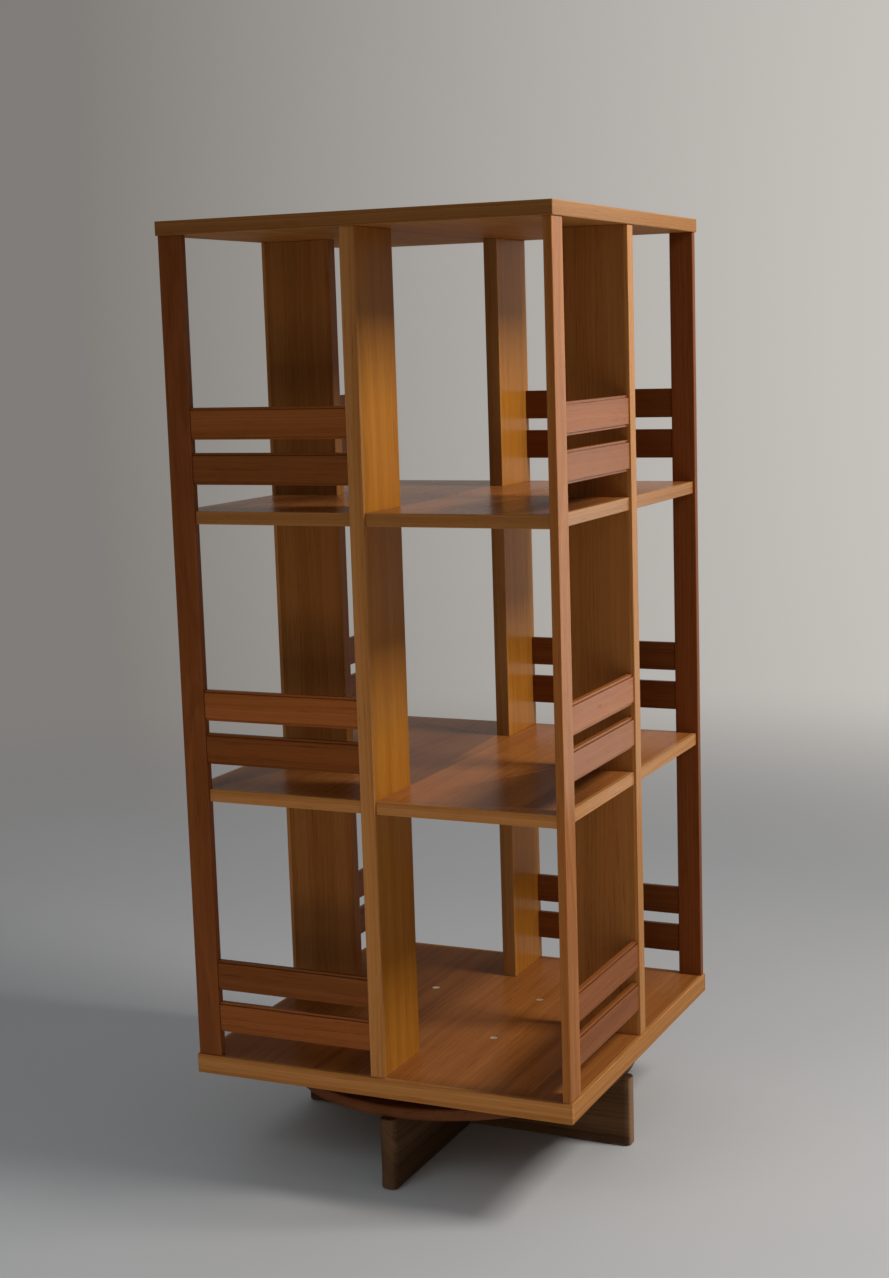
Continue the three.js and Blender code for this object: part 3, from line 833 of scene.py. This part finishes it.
def screw_mesh(screw):
    """A wood screw with a real thread, from its CAD box."""
    low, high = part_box(screw["node"])
    centre = (low + high) / 2
    length = high.z - low.z
    head, height, shank = screw["head"], screw["height"], screw["shank"]
    core = shank * 0.7
    neck = -height - (3 * MM if length > 20 * MM else 1 * MM)
    profile = [(0.0, -length, 0.0)]
    z = -length + 0.4 * MM
    while z < neck:
        profile.append((core, z, 0.0))
        z += THREAD_PITCH / 6
    profile.append((shank, neck + 0.3 * MM, 0.0))
    profile.append((shank, -height, 0.0))
    if screw["countersunk"]:
        profile += [(head - 0.25 * MM, -0.45 * MM, 0.0), (head, -0.28 * MM, 0.0),
                    (head - 0.05 * MM, -0.12 * MM, 0.0), (head - 0.3 * MM, -0.02 * MM, 0.0),
                    (head - 0.7 * MM, 0.0, 0.0)]
    else:
        profile += [(head - 0.1 * MM, -height, 0.0), (head, -height + 0.15 * MM, 0.0)]
        profile += arc_points((head - 1.9 * MM, -1.9 * MM), 1.9 * MM, 6, 84, 8)
        profile.append((head - 2.2 * MM, 0.0, 0.0))
    profile.append((0.0, 0.0, 0.0))

    def thread(radius, angle, z):
        if radius > core * 1.01 or z > neck:
            return radius
        phase = (z / THREAD_PITCH - angle / (2 * math.pi)) % 1.0
        ridge = max(0.0, 1 - abs(phase - 0.5) * 3.2)
        fade = min(1.0, (z + length) / POINT_LENGTH) * min(1.0, (neck - z) / THREAD_PITCH + 0.1)
        taper = min(1.0, (z + length + 0.6 * MM) / POINT_LENGTH)
        return core * taper + (shank - core) * ridge * max(0.0, fade)

    bm = turn(profile, SCREW_SIDES, (centre.x, centre.y, high.z), thread)
    return boolean(bm, cross_recess(centre, high.z, head, 1.6 * MM), solver="MANIFOLD")


def build_screws():
    for kind, family in ((RACK_SCREW, "rack_screw"), (PLATE_SCREW, "plate_screw"),
                         (DISC_SCREW, "disc_screw")):
        for screw in screws(kind, family):
            finish_piece(screw["node"], screw_mesh(screw), SCREW_STEEL)


GLIDE_NAIL_RADIUS = 1.1 * MM
GLIDE_THICKNESS = 1.5 * MM


def build_glides():
    for face in FACES:
        node = "floor_glide_" + face
        low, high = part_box(node)
        centre = (low + high) / 2
        radius = (high.x - low.x) / 2
        tall = high.z - low.z
        round_off = 0.7 * MM
        profile = [(0.0, 0.0, 0.0), (radius - 2.2 * round_off, 0.0, 0.0)]
        profile += arc_points((radius - round_off, round_off), round_off, -80, 0, 6, 0.6)
        profile += [(radius, GLIDE_THICKNESS - 0.15 * MM, 0.0),
                    (radius - 0.15 * MM, GLIDE_THICKNESS, 0.0),
                    (GLIDE_NAIL_RADIUS + 0.3 * MM, GLIDE_THICKNESS, 0.0),
                    (GLIDE_NAIL_RADIUS, GLIDE_THICKNESS + 0.3 * MM, 0.0),
                    (GLIDE_NAIL_RADIUS, tall - 3 * MM, 0.0), (0.0, tall, 0.0)]
        bm = turn(profile, 64, (centre.x, centre.y, low.z))
        finish_piece(node, bm, GLIDE_STEEL)


# ---- swivel ----------------------------------------------------------

SHEET = 2 * MM
PLATE_CORNER = 12 * MM
PLATE_SIDES = 144


def square_reach(angle, half, corner):
    """Distance from the middle of a rounded square to its edge."""
    c, s = abs(math.cos(angle)), abs(math.sin(angle))
    c, s = max(c, s), min(c, s)
    reach = half / c
    if reach * s <= half - corner:
        return reach
    inner = half - corner
    along = inner * (c + s)
    return along + math.sqrt(max(0.0, along * along - 2 * inner * inner + corner * corner))


def swivel_plate(node, downwards, bore, hole):
    """Half of the swivel: a square flange whose middle is pressed up into a round platform with a
    ball groove."""
    low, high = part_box(node)
    half = (high.x - low.x) / 2
    rise = high.z - low.z
    cage_low, cage_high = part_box("swivel_ball_cage")
    ball = (cage_high.z - cage_low.z) / 2
    race = (cage_high.x - cage_low.x) / 2 - 5.5 * MM
    groove = ball + 0.2 * MM
    gap = 3 * MM  # platform to the swivel's middle
    middle = rise + gap
    half_groove = math.sqrt(groove ** 2 - gap ** 2)
    swing = math.degrees(math.asin(half_groove / groove))
    shoulder = race + 8 * MM
    foot = race + 12 * MM
    upper = [(bore, rise - 0.2 * MM, 0), (bore + 0.2 * MM, rise, 0),
             (race - half_groove - 0.6 * MM, rise, 0)]
    upper += arc_points((race, middle), groove, -90 - swing, -90 + swing, 12)
    upper += [(race + half_groove + 0.6 * MM, rise, 0)]
    upper += arc_points((shoulder - 1.5 * MM, rise - 1.5 * MM), 1.5 * MM, 90, 52, 4)
    upper += arc_points((foot + 2.2 * MM, SHEET + 1.5 * MM), 1.5 * MM, 232, 270, 4)
    under = arc_points((foot + 0.6 * MM, 1.5 * MM), 1.5 * MM, 270, 232, 4)
    under += arc_points((shoulder - 3.2 * MM, rise - SHEET - 1.5 * MM), 1.5 * MM, 52, 90, 4)
    dip = middle - groove - SHEET
    under += [(race + half_groove + 1 * MM, rise - SHEET, 0), (race + half_groove - 1 * MM, dip, 0),
              (race - half_groove + 1 * MM, dip, 0), (race - half_groove - 1 * MM, rise - SHEET, 0),
              (bore + 0.2 * MM, rise - SHEET, 0), (bore, rise - SHEET + 0.2 * MM, 0)]
    rim = [(1.0, SHEET, -0.4 * MM), (1.0, SHEET - 0.15 * MM, -0.1 * MM),
           (1.0, SHEET - 0.4 * MM, 0.0), (1.0, 0.4 * MM, 0.0), (1.0, 0.15 * MM, -0.1 * MM),
           (1.0, 0.0, -0.4 * MM)]
    bm = bmesh.new()
    layer = bm.verts.layers.float.new(WEAR_AND_SHADE_LAYER)
    rings = []
    flip = -1 if downwards else 1
    base_z = high.z if downwards else low.z

    def add_ring(radius_of, z):
        ring = []
        for k in range(PLATE_SIDES):
            angle = 2 * math.pi * (k + 0.5) / PLATE_SIDES
            r = radius_of(angle)
            vert = bm.verts.new((r * math.cos(angle), r * math.sin(angle), base_z + flip * z))
            vert[layer] = 0.0
            ring.append(vert)
        rings.append(ring)

    for r, z, _ in upper:
        add_ring(lambda angle, r=r: r, z)
    for _, z, inset in rim:
        add_ring(lambda angle, inset=inset: square_reach(angle, half, PLATE_CORNER) + inset, z)
    for r, z, _ in under:
        add_ring(lambda angle, r=r: r, z)
    for first, second in zip(rings, rings[1:] + rings[:1]):
        for k in range(PLATE_SIDES):
            after = (k + 1) % PLATE_SIDES
            bm.faces.new((first[k], first[after], second[after], second[k]))
    bmesh.ops.recalc_face_normals(bm, faces=bm.faces)
    cutters = []
    for k in (1, 2, 3, 4):
        screw_low, screw_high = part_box(f"plate_screw_{k}")
        centre = (screw_low + screw_high) / 2
        profile = [(0, -1 * MM, 0), (hole, -1 * MM, 0), (hole, SHEET + 1 * MM, 0),
                   (0, SHEET + 1 * MM, 0)]
        start = base_z if not downwards else base_z - SHEET
        cutters.append(turn(profile, 40, (centre.x, centre.y, start)))
    return boolean(bm, cutters)


BALL_COUNT = 12


def cage_mesh(node):
    """The flat ring that spaces the balls, with the balls held in it."""
    low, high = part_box(node)
    middle = (low.z + high.z) / 2
    outer = (high.x - low.x) / 2
    inner = outer - 11 * MM
    rim = 0.6 * MM
    ball = (high.z - low.z) / 2
    profile = [(inner + 0.2 * MM, -rim, 0), (outer - 0.2 * MM, -rim, 0),
               (outer, -rim + 0.2 * MM, 0), (outer, rim - 0.2 * MM, 0),
               (outer - 0.2 * MM, rim, 0), (inner + 0.2 * MM, rim, 0),
               (inner, rim - 0.2 * MM, 0), (inner, -rim + 0.2 * MM, 0)]
    ring = turn(profile, 144, (0, 0, middle))
    balls = []
    for k in range(BALL_COUNT):
        angle = 2 * math.pi * k / BALL_COUNT
        race = (inner + outer) / 2
        centre = (race * math.cos(angle), race * math.sin(angle), middle)
        arc = arc_points((0, 0), ball, -90, 90, 16)
        arc[0], arc[-1] = (0.0, -ball, 0.0), (0.0, ball, 0.0)
        balls.append(turn(arc, 32, centre))
    return boolean(ring, balls, "UNION")


def rivet_mesh(node):
    """A shouldered rivet with domed heads."""
    low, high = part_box(node)
    half = (high.z - low.z) / 2
    head = (high.y - low.y) / 2
    shank = 4.7 * MM
    collar = 7.5 * MM
    collar_half = 2.7 * MM
    head_start = 5.3 * MM
    upper = [(collar, collar_half - 0.2 * MM, 0), (collar - 0.2 * MM, collar_half, 0),
             (shank, collar_half, 0), (shank, head_start, 0), (head - 0.2 * MM, head_start, 0),
             (head, head_start + 0.2 * MM, 0)]
    steps = 10
    for k in range(1, steps + 1):
        angle = math.pi / 2 * k / steps
        upper.append((head * math.cos(angle), head_start + 0.2 * MM
                      + (half - head_start - 0.2 * MM) * math.sin(angle), 0))
    upper[-1] = (0.0, half, 0)
    lower = [(r, -z, w) for r, z, w in reversed(upper)]
    return turn(lower + upper, 72, (0, 0, (low.z + high.z) / 2))


def build_swivel():
    finish_piece("swivel_lower_plate", swivel_plate("swivel_lower_plate", False, 5.0 * MM,
                                                    2.2 * MM), PLATE_STEEL)
    finish_piece("swivel_upper_plate", swivel_plate("swivel_upper_plate", True, 5.3 * MM,
                                                    2.8 * MM), PLATE_STEEL)
    finish_piece("swivel_ball_cage", cage_mesh("swivel_ball_cage"), BEARING_STEEL)
    finish_piece("swivel_pivot_rivet", rivet_mesh("swivel_pivot_rivet"), BEARING_STEEL)


# ---- base ------------------------------------------------------------

DISC_EDGE = 2.5 * MM
FOOT_END = 8 * MM
FOOT_ARRIS = 1.2 * MM


def build_disc():
    node = "base_disc"
    low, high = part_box(node)
    radius = (high.x - low.x) / 2
    thick = high.z - low.z
    profile = [(0.0, 0.0, 0.0), (radius - 2 * DISC_EDGE, 0.0, 0.0)]
    profile += arc_points((radius - DISC_EDGE, DISC_EDGE), DISC_EDGE, -90, 0, 6, 0.9)
    profile += arc_points((radius - DISC_EDGE, thick - DISC_EDGE), DISC_EDGE, 0, 90, 6, 0.9)
    profile += [(radius - 2 * DISC_EDGE, thick, 0.0), (0.0, thick, 0.0)]
    bm = turn(profile, 192, (0, 0, low.z))
    tools = [screw_cutter(s) for s in screws(PLATE_SCREW, "plate_screw")]
    tools += [screw_cutter(s) for s in screws(DISC_SCREW, "disc_screw")]
    bm = boolean(bm, tools)
    material = wood_material(node, "disc", "x", contrast=1.0, roughness=0.42)
    finish_piece(node, bm, material)


FOOT_END_STEPS = 8


def rounded_rectangle(half_x, half_y, radius, inset):
    points = []
    bend = radius - inset
    for corner in range(4):
        sx = 1 if corner in (0, 3) else -1
        sy = 1 if corner in (0, 1) else -1
        centre = (sx * (half_x - radius), sy * (half_y - radius))
        for k in range(FOOT_END_STEPS + 1):
            angle = math.pi / 2 * (corner + k / FOOT_END_STEPS)
            points.append((centre[0] + bend * math.cos(angle), centre[1] + bend * math.sin(angle)))
    return points


def foot_mesh(node, notch_at_top):
    low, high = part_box(node)
    half_x, half_y = (high.x - low.x) / 2, (high.y - low.y) / 2
    tall = high.z - low.z
    sections = []
    arc = [math.pi / 2 * k / ARC_STEPS for k in range(ARC_STEPS + 1)]

    def ring(along, inset, wear):
        outline = rounded_rectangle(half_x, half_y, FOOT_END, inset)
        sections.append((along, [(u, v, wear) for u, v in outline]))

    ring(0.0, FOOT_ARRIS + SUPPORT, 0.0)
    for a in arc:
        ring(FOOT_ARRIS * (1 - math.cos(a)), FOOT_ARRIS * (1 - math.sin(a)), 0.8)
    for k in range(5):
        ring(FOOT_ARRIS + SUPPORT + (tall - 2 * FOOT_ARRIS - 2 * SUPPORT) * k / 4, 0.0, 0.0)
    for a in reversed(arc):
        ring(tall - FOOT_ARRIS * (1 - math.cos(a)), FOOT_ARRIS * (1 - math.sin(a)), 0.8)
    ring(tall, FOOT_ARRIS + SUPPORT, 0.0)
    bm = mesh_of_sections(sections, lambda u, v, s: (u, v, low.z + s))

    notch = min(half_x, half_y) + 0.3 * MM
    middle = low.z + tall / 2
    start = middle - 0.15 * MM if notch_at_top else low.z - 2 * MM
    end = high.z + 2 * MM if notch_at_top else middle + 0.15 * MM
    tool = bmesh.new()
    bmesh.ops.create_cube(tool, size=1.0)
    bmesh.ops.scale(tool, vec=(2 * notch, 2 * notch, end - start), verts=tool.verts)
    bmesh.ops.translate(tool, vec=(0, 0, (start + end) / 2), verts=tool.verts)
    bm = boolean(bm, [tool])

    tools = []
    along_x = half_x > half_y
    for k, face in enumerate(FACES):
        if (face in ("left", "right")) != along_x:
            continue
        tools.append(screw_cutter(dict(DISC_SCREW, node=f"disc_screw_{k + 1}")))
        glide_low, glide_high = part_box("floor_glide_" + face)
        centre = (glide_low + glide_high) / 2
        bore = GLIDE_NAIL_RADIUS + 0.3 * MM
        profile = [(0, -2 * MM, 0), (bore, -2 * MM, 0), (bore, 13 * MM, 0), (0, 13 * MM, 0)]
        tools.append(turn(profile, 32, (centre.x, centre.y, low.z)))
    return boolean(bm, tools)


def build_feet():
    for node, axis, at_top in (("cross_foot_front_back", "y", False),
                               ("cross_foot_left_right", "x", True)):
        material = wood_material(node, "foot", axis, contrast=1.0, roughness=0.40)
        finish_piece(node, foot_mesh(node, at_top), material)


build_panels()
build_shelves()
build_uprights()
build_slats()
build_screws()
build_glides()
build_swivel()
build_disc()
build_feet()

# ---- stage, light and camera -----------------------------------------

FLOOR_RADIUS = 9.0
FLOOR_FADE = (1.1, 3.2)  # where the floor melts into the backdrop
FLOOR_TONE = (0.50, 0.50, 0.50)


def build_floor():
    bm = bmesh.new()
    bmesh.ops.create_circle(bm, cap_ends=True, segments=128, radius=FLOOR_RADIUS)
    floor = bpy.data.objects.new("studio_floor", to_mesh(bm, "studio_floor"))
    bpy.context.scene.collection.objects.link(floor)
    material = bpy.data.materials.new("studio_floor")
    s = empty_tree(material)
    place = s.node("ShaderNodeTexCoord").outputs["Object"]
    cloud = s.noise(place, 1.6, 4.0, 0.55)
    tone = s.mix(cloud, colour(*(c * 0.94 for c in FLOOR_TONE)),
                 colour(*(c * 1.06 for c in FLOOR_TONE)))
    matte = s.node("ShaderNodeBsdfPrincipled", {"Base Color": tone, "Roughness": 0.75})
    clear = s.node("ShaderNodeBsdfTransparent")
    distance = s.vector("LENGTH", place)
    fade = s.span(distance, *FLOOR_FADE)
    mixed = s.node("ShaderNodeMixShader", {0: fade, 1: matte.outputs[0], 2: clear.outputs[0]})
    s.node("ShaderNodeOutputMaterial", {"Surface": mixed.outputs[0]})
    floor.data.materials.append(material)


ROOM = (0.092, 0.083, 0.075)
BACKDROP = (0.215, 0.205, 0.195)  # the darkest the room looks to the camera
# Brighter parts of the room: direction, the cosines of the angles to it where it starts and where
# it would be full, and its own light.
ROOM_PARTS = (
    ((0.0, 0.0, 1.0), 0.10, 0.95, (0.160, 0.190, 0.225)),
    ((0.342, 0.940, 0.0), 0.35, 1.18, (0.74, 0.71, 0.67)),
)


def build_world():
    """A pale room, brighter on the window's side."""
    world = bpy.data.worlds.new("room")
    bpy.context.scene.world = world
    s = empty_tree(world)
    direction = s.node("ShaderNodeTexCoord").outputs["Generated"]
    tone = colour(*ROOM)
    for centre, start, full, light in ROOM_PARTS:
        share = s.span(s.vector("DOT_PRODUCT", direction, Vector(centre).normalized()), start, full)
        tone = s.mix(share, tone, s.mix(1.0, tone, colour(*light), "ADD"))
    seen = s.mix(1.0, tone, colour(*BACKDROP), "LIGHTEN")
    tone = s.mix(s.node("ShaderNodeLightPath").outputs["Is Camera Ray"], tone, seen)
    background = s.node("ShaderNodeBackground", {"Color": tone, "Strength": 1.0})
    s.node("ShaderNodeOutputWorld", {"Surface": background.outputs[0]})


def area_light(name, place, target, size, power, tint, spread=180):
    data = bpy.data.lights.new(name, "AREA")
    data.shape = "RECTANGLE"
    data.size, data.size_y = size
    data.energy = power
    data.color = tint
    data.spread = math.radians(spread)
    lamp = bpy.data.objects.new(name, data)
    bpy.context.scene.collection.objects.link(lamp)
    lamp.location = place
    aim = Vector(target) - Vector(place)
    lamp.rotation_euler = aim.to_track_quat("-Z", "Y").to_euler()
    lamp.visible_camera = False
    return lamp


def build_lights():
    area_light("window", (1.70, 0.12, 1.98), (0.0, 0.0, 0.45), (0.60, 0.60), 39.0,
               (1.0, 0.97, 0.93))
    area_light("front_fill", (0.45, -2.00, 0.30), (0.0, -0.24, 0.40), (1.2, 0.6), 1.65,
               (1.0, 0.84, 0.68), spread=80)
    # A bright card at the back, which only shows as a sheen on the faces turned to the window.
    card = area_light("sheen_card", (0.70, 0.55, 0.93), (0.70, 0.0, 0.93), (0.54, 1.3), 4.9,
                      (1.0, 0.94, 0.88))
    card.visible_diffuse = False
    # Soft light that only the floor takes, so that the rack's shadow stays pale.
    shade = area_light("floor_fill", (-0.35, -1.50, 1.30), (-0.10, -0.50, 0.0), (0.8, 0.8), 0.9,
                       (0.80, 0.93, 1.0), spread=80)
    taken = bpy.data.collections.new("floor_only")
    taken.objects.link(bpy.data.objects["studio_floor"])
    shade.light_linking.receiver_collection = taken


CAMERA_PLACE = (1.0063, -2.1506, 0.9758)
CAMERA_TURN = math.radians(23.796)  # about Z, from looking along +Y
CAMERA_DIP = math.radians(-8.660)
CAMERA_ROLL = math.radians(-1.583)
CAMERA_LENS = 55.5
CAMERA_SENSOR = 36.0
CAMERA_SHIFT = -0.0402


def build_camera():
    data = bpy.data.cameras.new("camera")
    data.lens = CAMERA_LENS
    data.sensor_width = CAMERA_SENSOR
    data.shift_x = CAMERA_SHIFT
    camera = bpy.data.objects.new("camera", data)
    bpy.context.scene.collection.objects.link(camera)
    camera.location = CAMERA_PLACE
    level = Matrix.Rotation(CAMERA_TURN, 4, "Z") @ Matrix.Rotation(math.pi / 2 + CAMERA_DIP, 4, "X")
    camera.rotation_euler = (level @ Matrix.Rotation(CAMERA_ROLL, 4, "Z")).to_euler()
    bpy.context.scene.camera = camera


build_floor()
build_world()
build_lights()
build_camera()
bpy.context.scene.view_settings.view_transform = "Standard"
